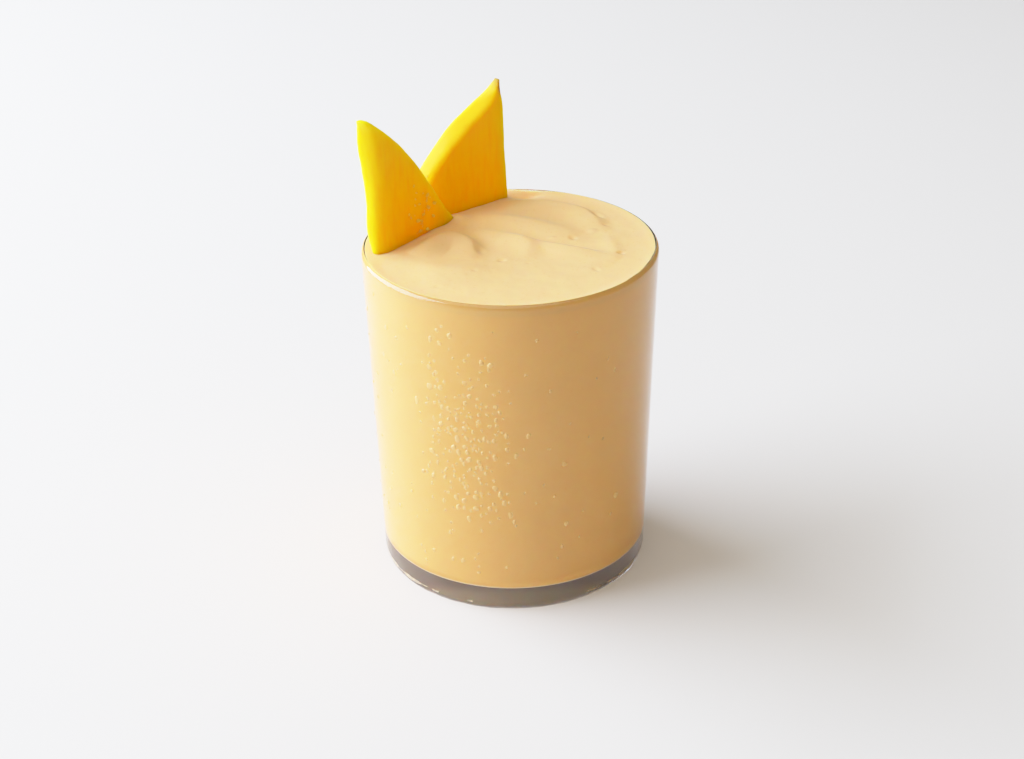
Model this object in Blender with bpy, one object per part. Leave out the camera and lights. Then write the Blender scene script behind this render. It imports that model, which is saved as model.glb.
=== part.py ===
"""A mango smoothie in a clear straight-sided tumbler, with two slices of peeled mango standing in it.

Units are metres, +Z is up. The origin is the middle of the tumbler's foot, on the table.
The front, from which the folds of the drink were laid out, looks along +Y.
The four pieces are the tumbler, the drink and the two slices. None of them moves.
"""

import math
from dataclasses import dataclass

import bmesh
import bpy
import numpy as np
from mathutils import Vector

MM = 0.001

# The tumbler: its sides widen a little towards a rounded rim, over a thick clear base
HEIGHT = 99.7 * MM
RIM_RADIUS = 42.5 * MM
BASE_RADIUS = 39.5 * MM
WALL = 2.3 * MM
BASE_THICKNESS = 6.9 * MM
HEEL_RADIUS = 2.4 * MM
INNER_CORNER = 4.0 * MM
FOOT_WIDTH = 3.4 * MM
FOOT_HOLLOW = 0.9 * MM

# The drink: filled level with the rim, with soft folds in its top
GAP = 0.3 * MM
FILL_BELOW_RIM = 0.3 * MM
LEVEL = HEIGHT - FILL_BELOW_RIM
FOLD_REACH = 9.0 * MM
CALM_EDGE = 6.0 * MM
FOLD_END_SHAPE = 0.6

# How finely the round shapes are cut, and how near two points count as one
TURNS = 72
ARC_STEPS = 5
SIDE_RINGS = 7
TOP_RINGS = 17
CORNER_STEPS = 3
SLICE_CUTS = 15
TOUCH = 1e-6
SHARP_EDGE = math.radians(40)

GLASS_LOOK = {"colour": (0.93, 0.95, 0.93), "roughness": 0.02, "alpha": 0.3}
DRINK_LOOK = {"colour": (0.92, 0.62, 0.27), "roughness": 0.42, "alpha": 1.0}
MANGO_LOOK = {"colour": (0.92, 0.47, 0.01), "roughness": 0.3, "alpha": 1.0}


@dataclass(frozen=True)
class Fold:
    """A crest in the drink's top. Walking along the path, the drink drops away on the left hand."""

    path: tuple
    height: float
    near: float
    drop: float
    trough: float
    reach: float


@dataclass(frozen=True)
class Swell:
    """A broad rise or dip in the drink's top."""

    centre: tuple
    radii: tuple
    height: float


@dataclass(frozen=True)
class Cut:
    """One level cut through a slice, measured along its flat face and back from it."""

    above: float
    skin: float
    skin_back: float
    far: float
    thick: float
    thin: float


@dataclass(frozen=True)
class Slice:
    """A slice: where its flat face stands, which way the face runs, and its level cuts."""

    corner: tuple
    turn: float
    cuts: tuple


# All the lengths in these tables are millimetres
FOLDS = (
    Fold(((-18, 4), (-13, 5.5), (-9, 3), (-7.6, -3), (-8.6, -9)), 0.85, 6.5, 1.5, 0.35, 4.5),
    Fold(((-3, 11), (2.5, 7), (6, 2.5), (7.4, -3), (6.6, -9)), 0.62, 6.0, 1.7, 0.3, 5.0),
    Fold(((7, 2), (14, -0.5), (20, -3.2), (25, -8)), 0.35, 6.0, 2.0, 0.3, 5.0),
    Fold(((-5, 23), (1, 19), (8, 14.6), (16, 11), (22, 6)), 0.42, 7.0, 3.0, 0.4, 6.0),
    Fold(((4, 31), (13, 29.2), (20.5, 26.4), (25.5, 20.5), (29, 12)), 0.5, 7.0, 1.8, 0.35, 4.5),
)
SWELLS = (
    Swell((-19, 6), (13, 9), 0.45),
    Swell((5, 25), (10, 6), 0.35),
    Swell((6.5, 39), (8, 4.5), -2.3),
    Swell((26, -12), (14, 12), -0.25),
)

LEFT_SLICE = Slice(
    corner=(-34.7, -4.6),
    turn=50.6,
    cuts=(
        Cut(-11.0, 0.4, 0.4, 30.2, 4.6, 2.2),
        Cut(0.0, 0.0, -0.3, 29.9, 5.0, 2.4),
        Cut(4.6, -0.3, -2.0, 26.2, 6.0, 2.8),
        Cut(14.0, -1.0, -2.0, 19.8, 6.1, 3.6),
        Cut(24.0, -1.8, -3.0, 12.6, 6.2, 4.6),
        Cut(32.3, -2.2, -4.6, 4.9, 6.0, 5.2),
        Cut(37.2, -3.6, -5.4, -0.6, 5.2, 4.6),
        Cut(40.6, -6.4, -7.2, -5.4, 3.2, 3.1),
    ),
)
RIGHT_SLICE = Slice(
    corner=(-0.7, 35.6),
    turn=38.8,
    cuts=(
        Cut(-11.0, -35.0, -35.0, 0.4, 5.6, 3.2),
        Cut(0.0, -35.0, -35.4, 0.4, 6.2, 3.3),
        Cut(9.0, -30.8, -31.8, 0.0, 6.4, 3.6),
        Cut(18.0, -23.8, -24.8, -0.5, 6.5, 3.9),
        Cut(26.0, -12.9, -15.9, -0.7, 6.2, 4.2),
        Cut(31.4, -4.9, -7.8, -1.1, 5.4, 4.4),
        Cut(34.6, -3.2, -3.8, -1.7, 3.9, 3.7),
        Cut(37.4, -2.5, -2.6, -2.0, 2.0, 1.9),
    ),
)
SKIN_CORNER = 1.5
BACK_CORNER = 1.8
THIN_CORNER = 0.6
CORNER_SHARE = 0.45


def arc(centre, radius, start, end, steps):
    """Points of an arc in the (radius, height) plane, from one angle in degrees to another."""
    angles = np.radians(np.linspace(start, end, steps + 1))
    return [(centre[0] + radius * math.cos(a), centre[1] + radius * math.sin(a)) for a in angles]


def smooth_curve(stops, values, at):
    """A smooth curve through the values at the stops, read at one place."""
    slopes = np.gradient(np.asarray(values, float), np.asarray(stops, float))
    i = int(np.clip(np.searchsorted(stops, at) - 1, 0, len(stops) - 2))
    span = stops[i + 1] - stops[i]
    t = (at - stops[i]) / span
    start = values[i] * (2 * t**3 - 3 * t**2 + 1) + slopes[i] * span * (t**3 - 2 * t**2 + t)
    end = values[i + 1] * (3 * t**2 - 2 * t**3) + slopes[i + 1] * span * (t**3 - t**2)
    return start + end


def side_lean():
    """How much the tumbler's radius grows for each metre of height."""
    return (RIM_RADIUS - BASE_RADIUS) / HEIGHT


def inner_radius(height):
    """The radius of the tumbler's inner wall at a height, rounding out over the rim."""
    rim = WALL / 2
    straight = BASE_RADIUS + side_lean() * min(height, HEIGHT - rim) - WALL
    over = max(height - (HEIGHT - rim), 0.0)
    return straight + rim - math.sqrt(max(rim**2 - over**2, 0.0))


def drink_radius(height):
    """The radius of the drink's side at a height: the inner wall less the gap."""
    rim = WALL / 2
    turn = HEIGHT - rim
    if height <= turn:
        return inner_radius(height) - GAP
    middle = inner_radius(turn) + rim
    return middle - math.sqrt((rim + GAP) ** 2 - (height - turn) ** 2)


def glass_profile():
    """The tumbler's wall in section, down the outside, under the foot and up the inside."""
    rim = WALL / 2
    lean = math.degrees(math.atan(side_lean()))
    top = (inner_radius(HEIGHT - rim) + rim, HEIGHT - rim)
    crest = arc(top, rim, 180 - lean, -lean, 2 * ARC_STEPS)
    heel = arc((BASE_RADIUS - HEEL_RADIUS, HEEL_RADIUS), HEEL_RADIUS, -lean, -90, ARC_STEPS)
    foot_edge = BASE_RADIUS - HEEL_RADIUS - FOOT_WIDTH
    inwards = np.linspace(1.0, 0.0, ARC_STEPS)
    hollow = [(foot_edge * share, FOOT_HOLLOW * (1 - share**2)) for share in inwards]
    floor = BASE_THICKNESS
    corner_middle = (inner_radius(floor + INNER_CORNER) - INNER_CORNER, floor + INNER_CORNER)
    inside = arc(corner_middle, INNER_CORNER, -90, -lean, ARC_STEPS)
    return crest + heel + hollow + [(0, floor)] + inside


def drink_profile():
    """The drink in section, from the middle of its top over the edge and down to the middle below."""
    lean = math.degrees(math.atan(side_lean()))
    radius = INNER_CORNER - GAP
    floor = BASE_THICKNESS + GAP
    middle = (drink_radius(floor + radius) - radius, floor + radius)
    top = [(drink_radius(LEVEL) * i / TOP_RINGS, LEVEL) for i in range(TOP_RINGS + 1)]
    heights = np.linspace(LEVEL, floor + radius, SIDE_RINGS + 2)[1:-1]
    side = [(drink_radius(z), z) for z in heights]
    return top + side + arc(middle, radius, -lean, -90, ARC_STEPS) + [(0, floor)]


def distance_to_path(point, path):
    """How far a point lies from a path, to which hand of it, and how far along it that is, from 0 to 1."""
    best = (math.inf, 1.0, 0.0)
    lengths = [math.dist(a, b) for a, b in zip(path[:-1], path[1:])]
    walked = 0.0
    for (ax, ay), (bx, by), length in zip(path[:-1], path[1:], lengths):
        dx, dy = (bx - ax) / length, (by - ay) / length
        along = min(max((point[0] - ax) * dx + (point[1] - ay) * dy, 0.0), length)
        ox, oy = point[0] - ax - dx * along, point[1] - ay - dy * along
        off = math.hypot(ox, oy)
        if off < best[0]:
            best = (off, 1.0 if dx * oy - dy * ox > 0 else -1.0, (walked + along) / sum(lengths))
        walked += length
    return best


def fold_height(fold, point):
    """The height that a fold gives the drink at a point, in millimetres."""
    off, hand, along = distance_to_path(point, fold.path)
    ends = math.sin(math.pi * min(max(along, 0.0), 1.0)) ** FOLD_END_SHAPE
    if hand < 0:
        return fold.height * ends * math.exp(-((off / fold.near) ** 2))
    crest = (1 + fold.trough) * math.exp(-((off / fold.drop) ** 2))
    return fold.height * ends * (crest - fold.trough * math.exp(-((off / fold.reach) ** 2)))


def top_relief(x, y):
    """How far the drink's top stands above its level at a place, in metres."""
    point = (x / MM, y / MM)
    height = sum(fold_height(fold, point) for fold in FOLDS)
    for swell in SWELLS:
        u = (point[0] - swell.centre[0]) / swell.radii[0]
        v = (point[1] - swell.centre[1]) / swell.radii[1]
        height += swell.height * math.exp(-(u * u + v * v))
    calm = min(1.0, max(0.0, (RIM_RADIUS - math.hypot(x, y)) / CALM_EDGE))
    rises = max(height, 0.0) * calm + min(height, 0.0)
    return rises * MM


def turned_solid(name, profile, look):
    """A solid turned about the Z axis from a profile of (radius, height) points."""
    mesh = bpy.data.meshes.new(name)
    bm = bmesh.new()
    row = [bm.verts.new((r, 0.0, z)) for r, z in profile]
    edges = [bm.edges.new((a, b)) for a, b in zip(row[:-1], row[1:])]
    if profile[0][0] > 0:
        edges.append(bm.edges.new((row[-1], row[0])))
    bmesh.ops.spin(
        bm,
        geom=row + edges,
        cent=(0, 0, 0),
        axis=(0, 0, 1),
        angle=math.tau,
        steps=TURNS,
        use_duplicate=False,
    )
    bmesh.ops.remove_doubles(bm, verts=bm.verts, dist=TOUCH)
    bmesh.ops.recalc_face_normals(bm, faces=bm.faces)
    bm.to_mesh(mesh)
    bm.free()
    return add_object(name, mesh, look)


def add_object(name, mesh, look):
    """Puts a mesh in the scene as one object with a material of its own, shaded smooth."""
    piece = bpy.data.objects.new(name, mesh)
    bpy.context.scene.collection.objects.link(piece)
    if look:
        mesh.materials.append(make_material(name, look))
    mesh.shade_smooth()
    mesh.set_sharp_from_angle(angle=SHARP_EDGE)
    return piece


def make_material(name, look):
    """A plain shader with the piece's colour and gloss."""
    material = bpy.data.materials.new(name)
    material.use_nodes = True
    shader = material.node_tree.nodes["Principled BSDF"]
    shader.inputs["Base Color"].default_value = (*look["colour"], 1.0)
    shader.inputs["Roughness"].default_value = look["roughness"]
    shader.inputs["Metallic"].default_value = 0.0
    shader.inputs["Alpha"].default_value = look["alpha"]
    return material


def rounded_corners(corners, radii):
    """Points round a four-sided outline, each corner turned by a curve of its own radius."""
    points = []
    for i, corner in enumerate(corners):
        before, after = corners[i - 1], corners[(i + 1) % len(corners)]
        start, end = (
            corner + side.normalized() * min(radii[i], side.length * CORNER_SHARE)
            for side in (before - corner, after - corner)
        )
        for step in range(CORNER_STEPS + 1):
            t = step / CORNER_STEPS
            points.append(start * (1 - t) ** 2 + corner * 2 * t * (1 - t) + end * t * t)
    return points


def slice_rings(shape, grow):
    """The level rings of a slice, from its sunk end to its tip, grown outwards by a distance in millimetres."""
    stops = [cut.above for cut in shape.cuts]
    spread = np.sin(np.linspace(0, math.pi / 2, SLICE_CUTS))
    heights = stops[0] + (stops[-1] - stops[0]) * spread
    turn = math.radians(shape.turn)
    along = Vector((math.cos(turn), math.sin(turn)))
    back = Vector((-math.sin(turn), math.cos(turn)))
    rings = []
    for height in heights:
        skin, skin_back, far, thick, thin = (
            smooth_curve(stops, [getattr(cut, field) for cut in shape.cuts], height)
            for field in ("skin", "skin_back", "far", "thick", "thin")
        )
        corners = [
            Vector((skin - grow, -grow)),
            Vector((far + grow, -grow)),
            Vector((far + grow, thin + grow)),
            Vector((skin_back - grow, thick + grow)),
        ]
        radii = (SKIN_CORNER, THIN_CORNER, THIN_CORNER, BACK_CORNER)
        ring = []
        for point in rounded_corners(corners, radii):
            place = Vector(shape.corner) + along * point.x + back * point.y
            ring.append((place.x * MM, place.y * MM, LEVEL + height * MM))
        rings.append(ring)
    rings[0] = [(x, y, z - grow * MM) for x, y, z in rings[0]]
    return rings


def slice_solid(name, shape, look, grow=0.0):
    """A slice lofted through its level rings and closed at both ends."""
    mesh = bpy.data.meshes.new(name)
    bm = bmesh.new()
    loops = [[bm.verts.new(point) for point in ring] for ring in slice_rings(shape, grow)]
    for lower, upper in zip(loops[:-1], loops[1:]):
        for i in range(len(lower)):
            j = (i + 1) % len(lower)
            bm.faces.new((lower[i], lower[j], upper[j], upper[i]))
    bm.faces.new(list(reversed(loops[0])))
    bm.faces.new(loops[-1])
    bmesh.ops.recalc_face_normals(bm, faces=bm.faces)
    bm.to_mesh(mesh)
    bm.free()
    return add_object(name, mesh, look)


def shape_top(drink):
    """Lifts the drink's top into its folds, with its edge kept a gap away from the wall."""
    for vertex in drink.data.vertices:
        x, y, z = vertex.co
        held = min(1.0, max(0.0, (z - LEVEL + FOLD_REACH) / FOLD_REACH))
        if held == 0.0:
            continue
        radius = math.hypot(x, y)
        on_side = radius > drink_radius(z) - TOUCH
        z += top_relief(x, y) * held
        if on_side:
            reach = drink_radius(z) / radius
            x, y = x * reach, y * reach
        vertex.co = (x, y, z)


def cut_round(drink, cutters):
    """Cuts the drink clear of the slices that stand in it."""
    for cutter in cutters:
        cutter.hide_render = True
        cutter.display_type = "WIRE"
        cut = drink.modifiers.new(cutter.name, "BOOLEAN")
        cut.operation = "DIFFERENCE"
        cut.solver = "EXACT"
        cut.object = cutter


def main():
    """Builds the tumbler, the drink and the two slices."""
    for piece in list(bpy.data.objects):
        bpy.data.objects.remove(piece, do_unlink=True)
    turned_solid("glass", glass_profile(), GLASS_LOOK)
    drink = turned_solid("smoothie", drink_profile(), DRINK_LOOK)
    shape_top(drink)
    slices = {"mango_slice_left": LEFT_SLICE, "mango_slice_right": RIGHT_SLICE}
    cutters = []
    for name, shape in slices.items():
        slice_solid(name, shape, MANGO_LOOK)
        cutters.append(slice_solid(name + "_clearance", shape, None, grow=GAP / MM))
    cut_round(drink, cutters)


main()
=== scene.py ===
"""The looks of a mango smoothie: a clear tumbler filled level with its rim, and two slices of peeled mango.

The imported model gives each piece's place and size, in metres with +Z up. Each class below makes one
sub-assembly in finer form where its solid stands, and each finish is the real material that it is made of.
"""

import logging
import math
from dataclasses import dataclass, field, replace
from enum import Enum, auto

import bmesh
import bpy
import numpy as np
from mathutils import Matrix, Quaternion, Vector, noise


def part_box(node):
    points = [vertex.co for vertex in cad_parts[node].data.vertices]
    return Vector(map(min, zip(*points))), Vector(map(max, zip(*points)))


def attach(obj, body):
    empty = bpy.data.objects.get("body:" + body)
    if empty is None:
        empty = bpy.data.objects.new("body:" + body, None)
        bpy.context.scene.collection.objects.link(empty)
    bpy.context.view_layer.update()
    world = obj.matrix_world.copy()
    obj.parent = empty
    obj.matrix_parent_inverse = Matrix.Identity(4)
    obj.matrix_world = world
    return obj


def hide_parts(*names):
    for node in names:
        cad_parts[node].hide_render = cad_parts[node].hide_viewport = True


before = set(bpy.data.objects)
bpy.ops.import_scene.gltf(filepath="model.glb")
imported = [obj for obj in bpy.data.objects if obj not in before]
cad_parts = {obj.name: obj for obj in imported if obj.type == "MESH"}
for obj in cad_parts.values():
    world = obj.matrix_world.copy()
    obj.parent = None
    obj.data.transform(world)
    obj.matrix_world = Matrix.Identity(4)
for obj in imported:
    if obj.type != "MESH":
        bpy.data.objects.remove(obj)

log = logging.getLogger("mango_smoothie")

MM = 0.001
PHOTO_WIDTH = 1024
PHOTO_HEIGHT = 759
BODY = "root"

Point = tuple[float, float]


def linear(hex_colour: str) -> tuple[float, float, float, float]:
    """Turns an sRGB hex colour to linear light.

    Args:
        hex_colour: Six hex digits after a hash.

    Returns:
        Red, green, blue and an alpha of 1.
    """
    shares = [int(hex_colour[i : i + 2], 16) / 255 for i in (1, 3, 5)]
    return (*(s / 12.92 if s <= 0.04045 else ((s + 0.055) / 1.055) ** 2.4 for s in shares), 1.0)


def add_node(
    tree: bpy.types.NodeTree,
    kind: str,
    settings: dict | None = None,
    links: dict | None = None,
) -> bpy.types.Node:
    """Adds a node with its settings and links.

    Args:
        tree: The material's or the world's node tree.
        kind: The node's type.
        settings: Values by the name of a property of the node, or by the name or number of an input.
        links: The socket that feeds each input, by the input's name or number.

    Returns:
        The new node.
    """
    node = tree.nodes.new(kind)
    for name, value in (settings or {}).items():
        if isinstance(name, str) and hasattr(node, name):
            setattr(node, name, value)
        else:
            node.inputs[name].default_value = value
    for name, socket in (links or {}).items():
        tree.links.new(socket, node.inputs[name])
    return node


def new_material(name: str) -> tuple[bpy.types.Material, bpy.types.NodeTree, bpy.types.Node]:
    """Starts a material.

    Args:
        name: What the material is.

    Returns:
        The material, its empty node tree and its output node.
    """
    material = bpy.data.materials.new(name)
    material.use_nodes = True
    tree = material.node_tree
    tree.nodes.clear()
    return material, tree, add_node(tree, "ShaderNodeOutputMaterial")


def mesh_piece(
    name: str,
    points: np.ndarray,
    faces: list,
    material: bpy.types.Material,
    sharp: float = 45.0,
) -> bpy.types.Object:
    """Makes one piece from points and faces, shaded smooth up to an angle.

    Args:
        name: The piece's name.
        points: One row for each point, in metres.
        faces: Point numbers round each face, seen from outside.
        material: The piece's finish.
        sharp: The angle in degrees from which an edge stays sharp.

    Returns:
        The new object, linked to the scene.
    """
    mesh = bpy.data.meshes.new(name)
    mesh.from_pydata(points.tolist(), [], faces)
    mesh.validate()
    return place_piece(name, mesh, material, sharp)


def place_piece(
    name: str,
    mesh: bpy.types.Mesh,
    material: bpy.types.Material,
    sharp: float = 45.0,
) -> bpy.types.Object:
    """Puts a mesh in the scene with its finish.

    Args:
        name: The piece's name.
        mesh: Its mesh.
        material: Its finish.
        sharp: The angle in degrees from which an edge stays sharp.

    Returns:
        The new object.
    """
    piece = bpy.data.objects.new(name, mesh)
    bpy.context.scene.collection.objects.link(piece)
    mesh.materials.append(material)
    mesh.shade_smooth()
    mesh.set_sharp_from_angle(angle=math.radians(sharp))
    return piece


def noise_at(points: np.ndarray, size: float, seed: float) -> np.ndarray:
    """Smooth noise from -1 to 1 at each point.

    Args:
        points: One row for each point, in millimetres.
        size: How wide one swell of the noise is, in millimetres.
        seed: Moves the noise, so that two layers differ.

    Returns:
        One value for each point.
    """
    return np.array([noise.noise(Vector(p) / size + Vector((seed, -seed, seed / 2))) for p in points])


def arc(centre: Point, radius: float, start: float, end: float, steps: int) -> list[Point]:
    """Points along an arc.

    Args:
        centre: The arc's middle, as radius and height.
        radius: The arc's own radius.
        start: The first angle, in degrees.
        end: The last angle, in degrees.
        steps: How many steps it takes.

    Returns:
        The points, from the first angle to the last.
    """
    angles = np.radians(np.linspace(start, end, steps + 1))
    return [(centre[0] + radius * math.cos(a), centre[1] + radius * math.sin(a)) for a in angles]


def smooth_curve(stops: list[float], values: list[float], at: np.ndarray) -> np.ndarray:
    """Reads a smooth curve through the values at the stops.

    Args:
        stops: Where the values hold, in rising order.
        values: The curve's values there.
        at: Where the curve is read.

    Returns:
        The curve's value at each place.
    """
    x, y = np.asarray(stops, float), np.asarray(values, float)
    slopes = np.gradient(y, x)
    i = np.clip(np.searchsorted(x, at) - 1, 0, len(x) - 2)
    span = x[i + 1] - x[i]
    t = (at - x[i]) / span
    start = y[i] * (2 * t**3 - 3 * t**2 + 1) + slopes[i] * span * (t**3 - 2 * t**2 + t)
    end = y[i + 1] * (3 * t**2 - 2 * t**3) + slopes[i + 1] * span * (t**3 - t**2)
    return start + end


def let_lamps_through(tree: bpy.types.NodeTree, surface: bpy.types.Node, tint: str) -> bpy.types.Node:
    """Lets lamp light and light scattered by the drink pass a clear wall straight, as through thin glass.

    Args:
        tree: The material's node tree.
        surface: The clear shader.
        tint: What is left of white light after one wall.

    Returns:
        The shader that mixes the two.
    """
    path = add_node(tree, "ShaderNodeLightPath")
    unbent = add_node(
        tree,
        "ShaderNodeMath",
        {"operation": "MAXIMUM"},
        {0: path.outputs["Is Shadow Ray"], 1: path.outputs["Is Diffuse Ray"]},
    )
    passing = add_node(tree, "ShaderNodeBsdfTransparent", {"Color": linear(tint)})
    return add_node(
        tree,
        "ShaderNodeMixShader",
        links={0: unbent.outputs[0], 1: surface.outputs[0], 2: passing.outputs[0]},
    )


@dataclass(frozen=True)
class PressedSodaLimeGlass:
    """Soda-lime glass, pressed in a mould and fire-polished: colourless, with a mirror-smooth skin."""

    tint: str = "#FCFEFC"
    wall_loss: str = "#FBFBFA"
    ior: float = 1.52
    roughness: float = 0.0

    def material(self) -> bpy.types.Material:
        """Returns the glass's material."""
        material, tree, output = new_material("pressed soda-lime glass")
        glass = add_node(
            tree,
            "ShaderNodeBsdfPrincipled",
            {
                "Base Color": linear(self.tint),
                "Roughness": self.roughness,
                "IOR": self.ior,
                "Transmission Weight": 1.0,
            },
        )
        both = let_lamps_through(tree, glass, self.wall_loss)
        tree.links.new(both.outputs[0], output.inputs["Surface"])
        return material


@dataclass(frozen=True)
class GroundGlass:
    """Glass ground flat on a wheel and scuffed by use: matte and pale, because fine scratches scatter light;
    its warm pale tone is also painted light, standing in for light gathered by the thick base.
    """

    # The ring's pale warm tone: partly the wear of ground glass, partly painted light that brightens the
    # band seen through the heel
    worn_and_lit: str = "#FFE9BE"
    scratched: str = "#B9AD98"
    scratch: float = 1.1
    roughness: float = 0.7
    ior: float = 1.52
    specular: float = 0.3

    def material(self) -> bpy.types.Material:
        """Returns the ground ring's material."""
        material, tree, output = new_material("ground glass")
        place = add_node(tree, "ShaderNodeTexCoord")
        scratches = add_node(
            tree,
            "ShaderNodeTexNoise",
            {"Scale": 1 / (self.scratch * MM), "Detail": 3.0, "Roughness": 0.6},
            {"Vector": place.outputs["Object"]},
        )
        share = add_node(
            tree,
            "ShaderNodeMapRange",
            {"From Min": 0.4, "From Max": 0.6},
            {"Value": scratches.outputs["Fac"]},
        )
        colour = add_node(
            tree,
            "ShaderNodeMix",
            {"data_type": "RGBA", 6: linear(self.scratched), 7: linear(self.worn_and_lit)},
            {0: share.outputs[0]},
        )
        ring = add_node(
            tree,
            "ShaderNodeBsdfPrincipled",
            {"Roughness": self.roughness, "IOR": self.ior, "Specular IOR Level": self.specular},
            {"Base Color": colour.outputs[2]},
        )
        tree.links.new(ring.outputs[0], output.inputs["Surface"])
        return material


@dataclass(frozen=True)
class CondensedWater:
    """Water that has condensed on the cold glass: beads with a slight haze, each with a small bright spot.
    """

    tint: str = "#F4C680"
    wall_loss: str = "#FDFDFD"
    ior: float = 1.333
    roughness: float = 0.22
    clear: float = 0.4

    def material(self) -> bpy.types.Material:
        """Returns the beads' material."""
        material, tree, output = new_material("condensed water")
        water = add_node(
            tree,
            "ShaderNodeBsdfPrincipled",
            {
                "Base Color": linear(self.tint),
                "Roughness": self.roughness,
                "IOR": self.ior,
                "Transmission Weight": self.clear,
            },
        )
        both = let_lamps_through(tree, water, self.wall_loss)
        tree.links.new(both.outputs[0], output.inputs["Surface"])
        return material


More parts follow.
